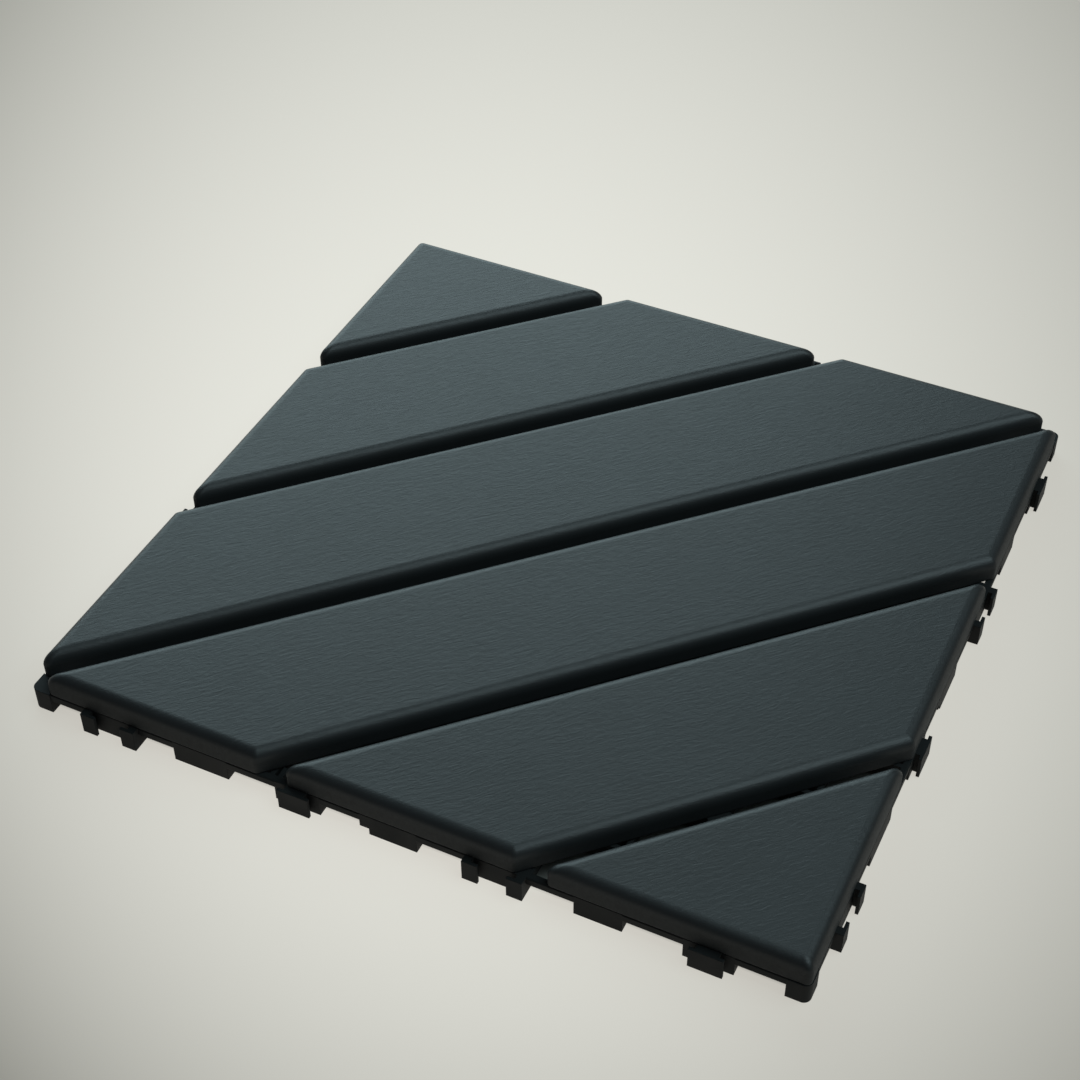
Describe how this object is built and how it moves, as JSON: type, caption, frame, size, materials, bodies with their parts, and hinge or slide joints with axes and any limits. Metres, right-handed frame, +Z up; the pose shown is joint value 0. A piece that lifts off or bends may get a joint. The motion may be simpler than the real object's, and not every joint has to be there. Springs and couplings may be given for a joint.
{
  "type": "interlocking deck tile",
  "caption": "Square plastic deck tile with diagonal slats screwed to a lattice base, with hooks and blocks along its edges that link it to the next tile.",
  "frame": {"origin": "middle of the tile, on the floor that its feet stand on", "axes": "+Z up through the slats, +X and +Y along the edges; the slats run from the -X -Y corner to the +X +Y corner"},
  "size_m": [0.306, 0.306, 0.019],
  "materials": {
    "base_plastic": "matte",
    "slat_plastic": "fine grained, satin",
    "screw_steel": "zinc plated"
  },
  "bodies": {
    "root": {"base_grid": "base_plastic", "long_slat_1": "slat_plastic", "long_slat_2": "slat_plastic", "short_slat_1": "slat_plastic", "short_slat_2": "slat_plastic", "corner_slat_1": "slat_plastic", "corner_slat_2": "slat_plastic", "slat_screws": "screw_steel"}
  },
  "joints": []
}
